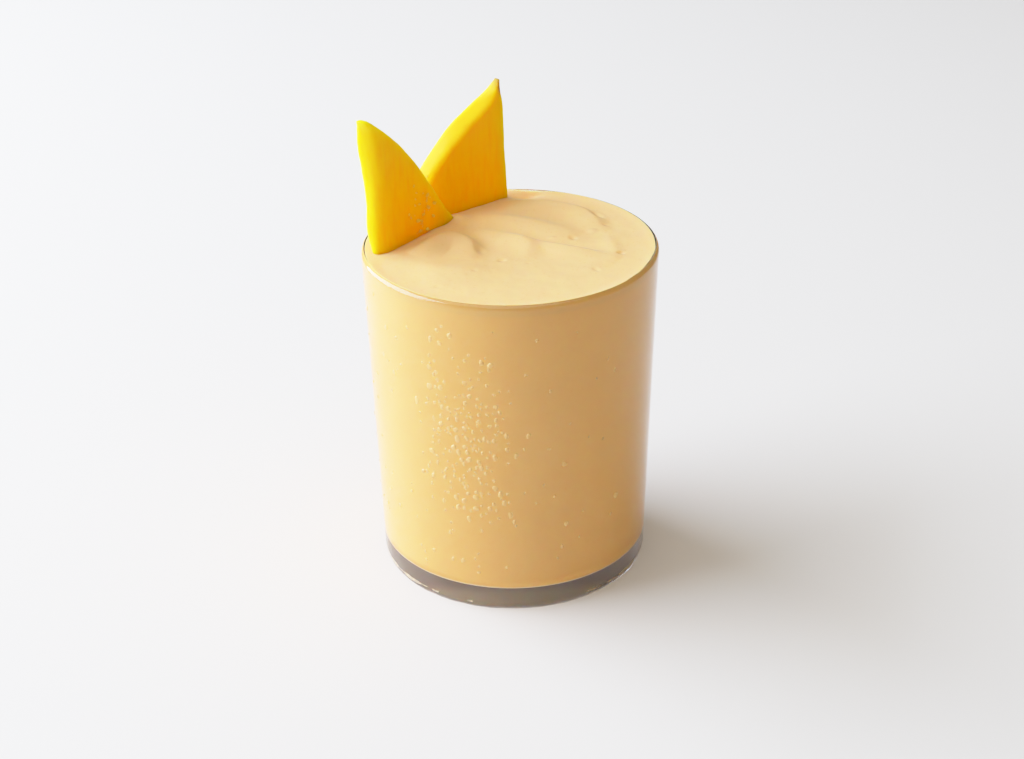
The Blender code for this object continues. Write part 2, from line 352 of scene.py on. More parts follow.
@dataclass(frozen=True)
class BlendedMangoAndMilk:
    """Ripe mango blended with milk: opaque and creamy, because its fat and fine pulp scatter the light.

    The top is painted paler than the drink against the glass: partly the fine froth's own paler colour,
    partly painted light, with the shaded side given a deeper colour.
    """

    # Paler top and deeper side: partly the froth's own colour, partly painted light and shade
    froth: str
    wet: str
    pulp: str
    # Painted shade on the underside behind, and a painted pool of golden light on it at the front
    under: str
    under_front_light: str
    # Painted shade: the darker band of the drink just under the rim, against the wall
    rim_shade: str
    bottom: float
    froth_from: float
    froth_to: float
    ring_height: float
    ring_half: float = 2.0 * MM
    ring_core: float = 0.4
    ring_radius: float = 39.0 * MM
    ring_fade: float = 0.8 * MM
    under_from: float = -9.0 * MM
    under_to: float = -3.0 * MM
    under_depth: float = 0.1 * MM
    under_fade: float = 1.2 * MM
    patch: float = 7.0
    patch_tones: Point = (0.985, 1.012)
    grain: float = 0.9
    grain_depth: float = 0.05 * MM
    grain_strength: float = 0.35
    speck: float = 1.6
    speck_share: float = 0.22
    gloss_spread: float = 0.07
    roughness: float = 0.4
    ior: float = 1.38
    specular: float = 0.3
    scatter: float = 1.2
    scatter_radius: tuple[float, float, float] = (1.0, 0.62, 0.28)

    def material(self) -> bpy.types.Material:
        """Returns the drink's material."""
        material, tree, output = new_material("blended mango and milk")
        place = add_node(tree, "ShaderNodeTexCoord")
        parts = add_node(tree, "ShaderNodeSeparateXYZ", links={0: place.outputs["Object"]})
        # Paler top, deeper side: partly the froth's own colour, partly painted light and shade
        height = add_node(
            tree,
            "ShaderNodeMapRange",
            {"interpolation_type": "SMOOTHSTEP", "From Min": self.froth_from, "From Max": self.froth_to},
            {"Value": parts.outputs["Z"]},
        )
        ground = add_node(
            tree,
            "ShaderNodeMix",
            {"data_type": "RGBA", 6: linear(self.wet), 7: linear(self.froth)},
            {0: height.outputs[0]},
        )
        # Painted shade: just under the rim, against the wall, the drink is painted a darker, deeper band
        offset = add_node(
            tree, "ShaderNodeMath", {"operation": "SUBTRACT", 1: self.ring_height}, {0: parts.outputs["Z"]}
        )
        away = add_node(tree, "ShaderNodeMath", {"operation": "ABSOLUTE"}, {0: offset.outputs[0]})
        in_ring = add_node(
            tree,
            "ShaderNodeMapRange",
            {
                "interpolation_type": "SMOOTHSTEP",
                "From Min": self.ring_half,
                "From Max": self.ring_half * self.ring_core,
            },
            {"Value": away.outputs[0]},
        )
        flat = add_node(tree, "ShaderNodeCombineXYZ", links={0: parts.outputs["X"], 1: parts.outputs["Y"]})
        out = add_node(tree, "ShaderNodeVectorMath", {"operation": "LENGTH"}, {0: flat.outputs[0]})
        at_wall = add_node(
            tree,
            "ShaderNodeMapRange",
            {"From Min": self.ring_radius, "From Max": self.ring_radius + self.ring_fade},
            {"Value": out.outputs["Value"]},
        )
        ring = add_node(
            tree,
            "ShaderNodeMath",
            {"operation": "MULTIPLY"},
            {0: in_ring.outputs[0], 1: at_wall.outputs[0]},
        )
        ringed = add_node(
            tree,
            "ShaderNodeMix",
            {"data_type": "RGBA", 7: linear(self.rim_shade)},
            {0: ring.outputs[0], 6: ground.outputs[2]},
        )
        # Painted light and shade on the underside, which shows through the thick base: a painted grey shade
        # behind, and a painted golden pool of light at the front
        rearward = add_node(
            tree,
            "ShaderNodeMapRange",
            {"From Min": self.under_from, "From Max": self.under_to},
            {"Value": parts.outputs["Y"]},
        )
        under = add_node(
            tree,
            "ShaderNodeMix",
            {"data_type": "RGBA", 6: linear(self.under_front_light), 7: linear(self.under)},
            {0: rearward.outputs[0]},
        )
        upward = add_node(
            tree,
            "ShaderNodeMapRange",
            {"From Min": self.bottom + self.under_depth, "From Max": self.bottom + self.under_fade},
            {"Value": parts.outputs["Z"]},
        )
        bodied = add_node(
            tree,
            "ShaderNodeMix",
            {"data_type": "RGBA"},
            {0: upward.outputs[0], 6: under.outputs[2], 7: ringed.outputs[2]},
        )
        # Slow patches, where the pulp is thicker or the froth finer
        patches = add_node(
            tree,
            "ShaderNodeTexNoise",
            {"Scale": 1 / (self.patch * MM), "Detail": 2.0, "Roughness": 0.5},
            {"Vector": place.outputs["Object"]},
        )
        tone = add_node(
            tree,
            "ShaderNodeMapRange",
            {"From Min": 0.3, "From Max": 0.7, "To Min": self.patch_tones[0], "To Max": self.patch_tones[1]},
            {"Value": patches.outputs["Fac"]},
        )
        toned = add_node(
            tree,
            "ShaderNodeMix",
            {"data_type": "RGBA", "blend_type": "MULTIPLY", 0: 1.0},
            {6: bodied.outputs[2], 7: tone.outputs[0]},
        )
        # Specks of pulp, drawn a little larger than the blender leaves them, so that they show
        specks = add_node(
            tree,
            "ShaderNodeTexVoronoi",
            {"Scale": 1 / (self.speck * MM), "Randomness": 1.0},
            {"Vector": place.outputs["Object"]},
        )
        near = add_node(
            tree,
            "ShaderNodeMapRange",
            {
                "interpolation_type": "SMOOTHSTEP",
                "From Min": 0.28,
                "From Max": 0.1,
                "To Max": self.speck_share,
            },
            {"Value": specks.outputs["Distance"]},
        )
        colour = add_node(
            tree,
            "ShaderNodeMix",
            {"data_type": "RGBA", 7: linear(self.pulp)},
            {0: near.outputs[0], 6: toned.outputs[2]},
        )
        fine = add_node(
            tree,
            "ShaderNodeTexNoise",
            {"Scale": 1 / (self.grain * MM), "Detail": 3.0, "Roughness": 0.55},
            {"Vector": place.outputs["Object"]},
        )
        relief = add_node(
            tree,
            "ShaderNodeBump",
            {"Strength": self.grain_strength, "Distance": self.grain_depth},
            {"Height": fine.outputs["Fac"]},
        )
        gloss = add_node(
            tree,
            "ShaderNodeMapRange",
            {"To Min": self.roughness - self.gloss_spread, "To Max": self.roughness + self.gloss_spread},
            {"Value": patches.outputs["Fac"]},
        )
        drink = add_node(
            tree,
            "ShaderNodeBsdfPrincipled",
            {
                "IOR": self.ior,
                "Specular IOR Level": self.specular,
                "Subsurface Weight": 1.0,
                "Subsurface Radius": self.scatter_radius,
                "Subsurface Scale": self.scatter * MM,
            },
            {"Base Color": colour.outputs[2], "Roughness": gloss.outputs[0], "Normal": relief.outputs[0]},
        )
        tree.links.new(drink.outputs[0], output.inputs["Surface"])
        return material


@dataclass(frozen=True)
class CutMangoFlesh:
    """Ripe mango cut with a knife: wet, smooth and deep yellow, with faint fibres, glowing where thin."""

    flesh: str = "#FFCE00"
    outer: str = "#FFC60A"
    fibre_tone: str = "#FFAE00"
    # A darker grey-brown laid along the far edge near the tip
    dark_edge: str = "#5C4D2A"
    fibre: float = 1.7
    fibre_share: float = 0.32
    fibre_strength: float = 0.3
    fibre_depth: float = 0.06 * MM
    gloss_below: float = 0.08
    gloss_above: float = 0.1
    patch: float = 9.0
    roughness: float = 0.3
    ior: float = 1.38
    specular: float = 0.12
    scatter: float = 6.5
    scatter_radius: tuple[float, float, float] = (1.0, 0.65, 0.06)

    def material(self) -> bpy.types.Material:
        """Returns the flesh's material, which reads the piece's outer share and its darker edge by the tip.
        """
        material, tree, output = new_material("cut mango flesh")
        place = add_node(tree, "ShaderNodeTexCoord")
        outer = add_node(tree, "ShaderNodeAttribute", {"attribute_name": "outer"})
        dark_edge = add_node(tree, "ShaderNodeAttribute", {"attribute_name": "dark_edge"})
        ground = add_node(
            tree,
            "ShaderNodeMix",
            {"data_type": "RGBA", 6: linear(self.flesh), 7: linear(self.outer)},
            {0: outer.outputs["Fac"]},
        )
        # Fibres run up the slice, so the noise is drawn out along its height
        drawn = add_node(
            tree,
            "ShaderNodeMapping",
            {"Scale": (1 / (self.fibre * MM), 1 / (self.fibre * MM), 1 / (self.patch * MM))},
            {"Vector": place.outputs["Object"]},
        )
        fibres = add_node(
            tree,
            "ShaderNodeTexNoise",
            {"Scale": 1.0, "Detail": 3.0, "Roughness": 0.6},
            {"Vector": drawn.outputs[0]},
        )
        share = add_node(
            tree,
            "ShaderNodeMapRange",
            {"From Min": 0.42, "From Max": 0.7, "To Max": self.fibre_share},
            {"Value": fibres.outputs["Fac"]},
        )
        streaked = add_node(
            tree,
            "ShaderNodeMix",
            {"data_type": "RGBA", 7: linear(self.fibre_tone)},
            {0: share.outputs[0], 6: ground.outputs[2]},
        )
        # Darker grey-brown along the far edge near the tip
        colour = add_node(
            tree,
            "ShaderNodeMix",
            {"data_type": "RGBA", 7: linear(self.dark_edge)},
            {0: dark_edge.outputs["Fac"], 6: streaked.outputs[2]},
        )
        gloss = add_node(
            tree,
            "ShaderNodeMapRange",
            {"To Min": self.roughness - self.gloss_below, "To Max": self.roughness + self.gloss_above},
            {"Value": fibres.outputs["Fac"]},
        )
        relief = add_node(
            tree,
            "ShaderNodeBump",
            {"Strength": self.fibre_strength, "Distance": self.fibre_depth},
            {"Height": fibres.outputs["Fac"]},
        )
        flesh = add_node(
            tree,
            "ShaderNodeBsdfPrincipled",
            {
                "IOR": self.ior,
                "Specular IOR Level": self.specular,
                "Subsurface Weight": 1.0,
                "Subsurface Radius": self.scatter_radius,
                "Subsurface Scale": self.scatter * MM,
            },
            {"Base Color": colour.outputs[2], "Roughness": gloss.outputs[0], "Normal": relief.outputs[0]},
        )
        tree.links.new(flesh.outputs[0], output.inputs["Surface"])
        return material


@dataclass(frozen=True)
class MattePaintedBoard:
    """Board painted with matte emulsion: even and pale, with no gloss."""

    colour: str = "#E1DACE"
    roughness: float = 0.9
    specular: float = 0.2

    def material(self) -> bpy.types.Material:
        """Returns the board's material."""
        material, tree, output = new_material("matte painted board")
        board = add_node(
            tree,
            "ShaderNodeBsdfPrincipled",
            {
                "Base Color": linear(self.colour),
                "Roughness": self.roughness,
                "Specular IOR Level": self.specular,
            },
        )
        tree.links.new(board.outputs[0], output.inputs["Surface"])
        return material


@dataclass
class Tumbler:
    """A clear tumbler whose sides widen a little to a rounded rim, over a thick base. Sizes in metres."""

    finish: PressedSodaLimeGlass
    height: float
    rim_radius: float = 42.5 * MM
    base_radius: float = 39.5 * MM
    wall: float = 2.3 * MM
    base_thickness: float = 6.9 * MM
    heel_radius: float = 3.4 * MM
    inner_corner: float = 4.0 * MM
    foot_width: float = 3.4 * MM
    foot_hollow: float = 0.9 * MM
    wave_height: float = 0.15 * MM
    wave_size: float = 2.6 * MM
    wave_top: float = 7.0 * MM
    turns: int = 288
    wall_steps: int = 26
    rim_steps: int = 22
    corner_steps: int = 12
    foot_steps: int = 10

    @property
    def lean(self) -> float:
        """How much the radius grows for each metre of height."""
        return (self.rim_radius - self.base_radius) / self.height

    def outer_radius(self, height: float) -> float:
        """The radius of the outside of the wall at a height."""
        return self.base_radius + self.lean * height

    def inner_radius(self, height: float) -> float:
        """The radius of the inside of the wall at a height, rounding out over the rim."""
        rim = self.wall / 2
        straight = self.outer_radius(min(height, self.height - rim)) - self.wall
        over = min(max(height - (self.height - rim), 0.0), rim)
        return straight + rim - math.sqrt(rim**2 - over**2)

    def profile(self) -> list[Point]:
        """Draws the wall in section.

        Returns:
            Points as radius and height: over the rim, down the outside, under the foot and up the inside.
        """
        rim = self.wall / 2
        lean = math.degrees(math.atan(self.lean))
        top = (self.inner_radius(self.height - rim) + rim, self.height - rim)
        crest = arc(top, rim, 180 - lean, -lean, self.rim_steps)
        heel_middle = (self.base_radius - self.heel_radius, self.heel_radius)
        heel = arc(heel_middle, self.heel_radius, -lean, -90, self.corner_steps)
        # Even rows down the wall keep the waves of the heel from bending the light higher up
        downs = np.linspace(0.0, 1.0, self.wall_steps + 1)[1:-1]
        (top_r, top_z), (low_r, low_z) = crest[-1], heel[0]
        side = [(top_r + (low_r - top_r) * s, top_z + (low_z - top_z) * s) for s in downs]
        foot_edge = self.base_radius - self.heel_radius - self.foot_width
        shares = np.linspace(1.0, 0.0, self.foot_steps + 1)
        hollow = [(foot_edge * s, self.foot_hollow * (1 - s**2)) for s in shares]
        floor = self.base_thickness
        corner_height = floor + self.inner_corner
        corner_middle = (self.inner_radius(corner_height) - self.inner_corner, corner_height)
        inside = arc(corner_middle, self.inner_corner, -90, -lean, self.corner_steps)
        return crest + side + heel + hollow + [(0, floor)] + inside

    def wave_foot(self, bm: bmesh.types.BMesh) -> None:
        """Gives the heel and the lower wall the faint waves that the mould leaves, which break up the light.

        Args:
            bm: The turned tumbler.
        """
        bm.normal_update()
        for vert in bm.verts:
            outside = math.hypot(vert.co.x, vert.co.y) > self.base_radius - self.heel_radius
            share = 1 - vert.co.z / self.wave_top
            if outside and share > 0:
                swell = noise.noise(vert.co / self.wave_size)
                vert.co += vert.normal * swell * self.wave_height * min(1.0, 2 * share)

    def build(self) -> bpy.types.Object:
        """Turns the section about the tumbler's axis.

        Returns:
            The tumbler, in place of its solid.
        """
        mesh = bpy.data.meshes.new("tumbler")
        bm = bmesh.new()
        row = [bm.verts.new((r, 0.0, z)) for r, z in self.profile()]
        edges = [bm.edges.new(pair) for pair in zip(row, row[1:] + row[:1])]
        bmesh.ops.spin(
            bm,
            geom=row + edges,
            cent=(0, 0, 0),
            axis=(0, 0, 1),
            angle=math.tau,
            steps=self.turns,
            use_duplicate=False,
        )
        bmesh.ops.remove_doubles(bm, verts=bm.verts, dist=0.001 * MM)
        bmesh.ops.recalc_face_normals(bm, faces=bm.faces)
        self.wave_foot(bm)
        bm.to_mesh(mesh)
        bm.free()
        piece = place_piece("tumbler", mesh, self.finish.material(), sharp=50.0)
        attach(piece, BODY)
        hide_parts("glass")
        return piece


@dataclass
class GroundFoot:
    """The thin matte skin of the ring on which the tumbler stands. Sizes in metres."""

    finish: GroundGlass
    glass: Tumbler
    outside: float = 1.0 * MM
    width: float = 6.0 * MM
    lift: float = 0.05 * MM
    depth: float = 0.04 * MM
    turns: int = 192

    def build(self) -> bpy.types.Object:
        """Makes the skin as a flat closed ring, just inside the foot.

        Returns:
            The ring.
        """
        outer = self.glass.base_radius - self.glass.heel_radius + self.outside
        section = (
            (outer, self.lift),
            (outer, self.lift + self.depth),
            (outer - self.width, self.lift + self.depth),
            (outer - self.width, self.lift),
        )
        angles = np.linspace(0, math.tau, self.turns, endpoint=False)
        points = np.array([(r * math.cos(a), r * math.sin(a), z) for a in angles for r, z in section])
        faces = []
        for i in range(self.turns):
            j = (i + 1) % self.turns
            for k in range(4):
                nxt = (k + 1) % 4
                faces.append((i * 4 + k, j * 4 + k, j * 4 + nxt, i * 4 + nxt))
        piece = mesh_piece("ground_foot", points, faces, self.finish.material())
        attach(piece, BODY)
        return piece


class SliceSide(Enum):
    """The sides of a slice's outline, in the order in which it is drawn."""

    FACE = auto()
    FAR = auto()
    BACK = auto()
    PEELED = auto()


SIDE_POINTS = {SliceSide.FACE: 44, SliceSide.FAR: 8, SliceSide.BACK: 44, SliceSide.PEELED: 16}


@dataclass(frozen=True)
class Cut:
    """One level cut through a slice, in millimetres along its flat face and back from it."""

    above: float
    skin: float
    skin_back: float
    far: float
    thick: float
    thin: float
    bow: float
    soft: float


@dataclass
class MangoSlice:
    """A slice of peeled mango that stands in the drink. Lengths in millimetres, angles in degrees."""

    name: str
    node: str
    finish: CutMangoFlesh
    level: float
    corner: Point
    turn: float
    cuts: tuple[Cut, ...]
    dark_edge_above: float | None = None
    corner_radii: tuple[float, float, float] = (0.6, 0.6, 1.8)
    corner_share: float = 0.45
    bow_reach: float = 2.5
    tip_rise: float = 0.1
    corner_steps: int = 7
    levels: int = 110
    tip_steps: int = 5
    outer_reach: float = 3.2
    dark_edge_rise: float = 3.0
    dark_edge_reach: float = 1.1
    swell: float = 0.16
    swell_size: float = 6.0
    ripple_share: float = 0.35
    ripple_size: float = 2.4
    fibre: float = 0.035
    fibre_size: float = 0.9
    fibre_draw: float = 0.12
    seeds: tuple[float, float, float] = (3.7, 9.1, 5.3)

    def axes(self) -> tuple[np.ndarray, np.ndarray]:
        """Returns the level directions along the flat face and back from it."""
        turn = math.radians(self.turn)
        return np.array((math.cos(turn), math.sin(turn))), np.array((-math.sin(turn), math.cos(turn)))

    def corners_at(self, above: float) -> list[np.ndarray]:
        """Finds the slice's four corners at one height.

        Args:
            above: Height over the drink's level, in millimetres.

        Returns:
            The corners in the slice's own axes: peeled and far side of the face, then far and peeled side
            behind.
        """
        skin, skin_back, far, thick, thin = (
            self.at_height(name, above) for name in ("skin", "skin_back", "far", "thick", "thin")
        )
        return [np.array(p) for p in ((skin, 0.0), (far, 0.0), (far, thin), (skin_back, thick))]

    def at_height(self, name: str, above: float) -> float:
        """Reads one measure of the cuts at a height over the drink's level."""
        stops = [cut.above for cut in self.cuts]
        return float(smooth_curve(stops, [getattr(cut, name) for cut in self.cuts], np.array(above)))

    def outline(self, above: float) -> np.ndarray:
        """Draws the slice's outline at one height, with the same number of points at each.

        Args:
            above: Height over the drink's level, in millimetres.

        Returns:
            One row for each point: along and back in millimetres, then the share of the peeled side.
        """
        corners = self.corners_at(above)
        bow = self.at_height("bow", above)
        radii = (self.at_height("soft", above), *self.corner_radii)
        rows = []
        ends = []
        for i, corner in enumerate(corners):
            legs = [corners[i - 1] - corner, corners[(i + 1) % 4] - corner]
            reach = [min(radii[i], np.linalg.norm(leg) * self.corner_share) for leg in legs]
            ends.append([corner + leg / np.linalg.norm(leg) * r for leg, r in zip(legs, reach)])
        width = max(np.linalg.norm(corners[1] - corners[0]), 1e-6)
        for i, side in enumerate(SliceSide):
            start, end = ends[i]
            for t in np.linspace(0, 1, self.corner_steps + 1)[:-1]:
                rows.append(start * (1 - t) ** 2 + corners[i] * 2 * t * (1 - t) + end * t * t)
            finish = ends[(i + 1) % 4][0]
            for t in np.linspace(0, 1, SIDE_POINTS[side] + 1)[:-1]:
                rows.append(end * (1 - t) + finish * t)
        points = np.array(rows)
        across = np.clip(points[:, 1] / corners[3][1], 0, 1)
        from_skin = points[:, 0] - corners[0][0] * (1 - across) - corners[3][0] * across
        points[:, 0] -= bow * np.sin(math.pi * across) * np.exp(-((from_skin / self.bow_reach) ** 2))
        inwards = np.clip((points[:, 0] - corners[0][0]) / width, 0, 1) * width
        outer = np.exp(-((inwards / self.outer_reach) ** 2))
        return np.column_stack((points, outer))

    def to_world(self, flat: np.ndarray, above: float) -> np.ndarray:
        """Places points of an outline in the row frame.

        Args:
            flat: Rows of along and back, in millimetres.
            above: Height over the drink's level, in millimetres.

        Returns:
            Rows of x, y and z, in millimetres.
        """
        along, back = self.axes()
        level = np.array(self.corner) + flat[:, :1] * along + flat[:, 1:2] * back
        return np.column_stack((level, np.full(len(flat), self.level / MM + above)))

    def footprint(self) -> np.ndarray:
        """Returns the slice's outline where the drink meets it, as rows of x and y in millimetres."""
        return self.to_world(self.outline(0.0), 0.0)[:, :2]

    def build(self) -> bpy.types.Object:
        """Lofts the slice through its outlines, rounds its tip and works its surface.

        Returns:
            The slice, in place of its solid.
        """
        low, high = self.cuts[0].above, self.cuts[-1].above
        heights = low + (high - low) * np.sin(np.linspace(0, math.pi / 2, self.levels))
        rings = []
        outer = []
        dark_edge = []
        for above in heights:
            outline = self.outline(above)
            rings.append(self.to_world(outline, above))
            outer.append(outline[:, 2])
            dark_edge.append(self.dark_edge_share(outline, above))
        tip = rings[-1]
        middle = tip.mean(axis=0)
        rise = self.tip_rise * np.ptp(tip[:, 1])
        for turn in np.linspace(0, math.pi / 2, self.tip_steps + 1)[1:-1]:
            ring = middle + (tip - middle) * math.cos(turn)
            ring[:, 2] += rise * math.sin(turn)
            rings.append(ring)
            outer.append(outer[-1])
            dark_edge.append(dark_edge[-1])
        points, faces = self.loft(rings, middle + (0, 0, rise))
        points = self.work_surface(points, faces)
        piece = mesh_piece(self.name, points * MM, faces, self.finish.material(), sharp=60.0)
        for label, rows in (("outer", outer), ("dark_edge", dark_edge)):
            values = np.concatenate([*rows, [rows[-1].mean()], [0.0]])
            layer = piece.data.attributes.new(label, "FLOAT", "POINT")
            layer.data.foreach_set("value", values.astype(np.float32))
        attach(piece, BODY)
        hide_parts(self.node)
        return piece

    def dark_edge_share(self, outline: np.ndarray, above: float) -> np.ndarray:
        """Marks a darker grey-brown band along the far edge, near the tip.

        Args:
            outline: Rows of along, back and share of the peeled side.
            above: Height over the drink's level, in millimetres.

        Returns:
            The share of peel at each point, from 0 to 1.
        """
        if self.dark_edge_above is None:
            return np.zeros(len(outline))
        rise = np.clip((above - self.dark_edge_above) / self.dark_edge_rise, 0, 1)
        far = outline[:, 0].max()
        near_edge = np.exp(-(((far - outline[:, 0]) / self.dark_edge_reach) ** 2))
        return near_edge * rise

    @staticmethod
    def loft(rings: list[np.ndarray], tip: np.ndarray) -> tuple[np.ndarray, list]:
        """Joins rings of points and closes both ends to a point.

        Args:
            rings: The rings, from the lowest to the highest.
            tip: The point that closes the top.

        Returns:
            All the points, with the tip and the foot last, and the faces.
        """
        size = len(rings[0])
        foot = rings[0].mean(axis=0)
        points = np.vstack([*rings, tip, foot])
        faces = []
        for k in range(len(rings) - 1):
            for i in range(size):
                j = (i + 1) % size
                faces.append((k * size + i, k * size + j, (k + 1) * size + j, (k + 1) * size + i))
        top = (len(rings) - 1) * size
        for i in range(size):
            j = (i + 1) % size
            faces.append((top + i, top + j, len(points) - 2))
            faces.append((j, i, len(points) - 1))
        return points, faces

    def work_surface(self, points: np.ndarray, faces: list) -> np.ndarray:
        """Gives the faces the soft swells and fine fibres of cut fruit.

        Args:
            points: The smooth slice, in millimetres.
            faces: Its faces.

        Returns:
            The points, moved along their normals.
        """
        mesh = bpy.data.meshes.new("smooth slice")
        mesh.from_pydata(points.tolist(), [], faces)
        normals = np.array([tuple(n.vector) for n in mesh.vertex_normals])
        bpy.data.meshes.remove(mesh)
        swell_seed, ripple_seed, fibre_seed = self.seeds
        swells = noise_at(points, self.swell_size, swell_seed) * self.swell
        ripples = noise_at(points, self.ripple_size, ripple_seed) * self.swell * self.ripple_share
        drawn = points * (1.0, 1.0, self.fibre_draw)
        fibres = noise_at(drawn, self.fibre_size, fibre_seed) * self.fibre
        return points + normals * (swells + ripples + fibres)[:, None]


@dataclass(frozen=True)
class Fold:
    """A crest in the drink's top, in millimetres. The drink drops away on the left of its path."""

    path: tuple[Point, ...]
    height: float
    near: float
    drop: float
    trough: float
    reach: float


@dataclass(frozen=True)
class Swell:
    """A broad rise or dip in the drink's top, in millimetres."""

    centre: Point
    radii: Point
    height: float


@dataclass(frozen=True)
class Pit:
    """A burst bubble or small hollow in the drink's top, in millimetres, its long axis turned in degrees."""

    centre: Point
    radii: Point
    depth: float
    turn: float = 0.0
    lip: float = 0.12


FOLDS = (
    Fold(
        ((-28, -6), (-21, 1.5), (-16, 3), (-12.5, 0.5), (-11.2, -4), (-12.4, -10)), 2.4, 4.6, 3.2, 0.4, 5.5
    ),
    Fold(((-10, 10), (-2, 5.5), (3.4, 0.5), (4.8, -4.5), (3.4, -10)), 1.2, 5.0, 3.2, 0.35, 6.0),
    Fold(((-2, 5), (7, -0.2), (15, -4), (23, -7.2), (31, -11)), 1.5, 5.0, 2.6, 0.35, 5.0),
    Fold(((-12, 20), (-3, 18), (5, 14.6), (12, 10.6), (20, 5)), 1.5, 6.5, 4.4, 0.45, 8.0),
    Fold(((-5, 31), (6, 30), (13, 27.4), (20, 23.6), (24, 18), (27, 8)), 1.8, 6.0, 2.8, 0.35, 5.5),
    Fold(((27.5, 6), (29.6, -3), (29.6, -12)), 0.35, 3.0, 2.0, 0.3, 3.4),
    Fold(((-26, -13), (-16, -17), (-6, -15)), 0.5, 5.0, 3.4, 0.3, 5.0),
)
SWELLS = (
    Swell((-19, 8), (9, 6), 0.8),
    Swell((5, 25), (10, 6), 0.35),
    Swell((4.5, 37.6), (5, 2.0), -1.5),
    Swell((26, -12), (14, 12), -0.25),
    Swell((-15.0, 18.6), (3.4, 3.0), 1.3),
)
PITS = (
    Pit((-8.6, -4.6), (2.0, 1.2), 0.4, -75),
    Pit((25.6, 20.4), (2.4, 1.1), 0.55, -60),
    Pit((31.3, -6.8), (1.0, 0.9), 0.45, 10),
    Pit((23.8, 8.7), (1.2, 0.9), -0.3, 15),
    Pit((18, 4), (1.1, 0.9), 0.3, -70),
    Pit((23.8, -17.6), (1.4, 0.7), 0.32, -70),
    Pit((-2.4, -10.9), (1.0, 0.9), 0.35),
    Pit((28, 13), (0.9, 0.7), 0.2, 30),
    Pit((12, 4), (1.0, 0.7), -0.22, 20),
    Pit((-10, -18), (0.8, 0.7), 0.14),
    Pit((5, -13), (0.7, 0.6), 0.14),
    Pit((-20, -28), (0.9, 0.8), 0.12),
)


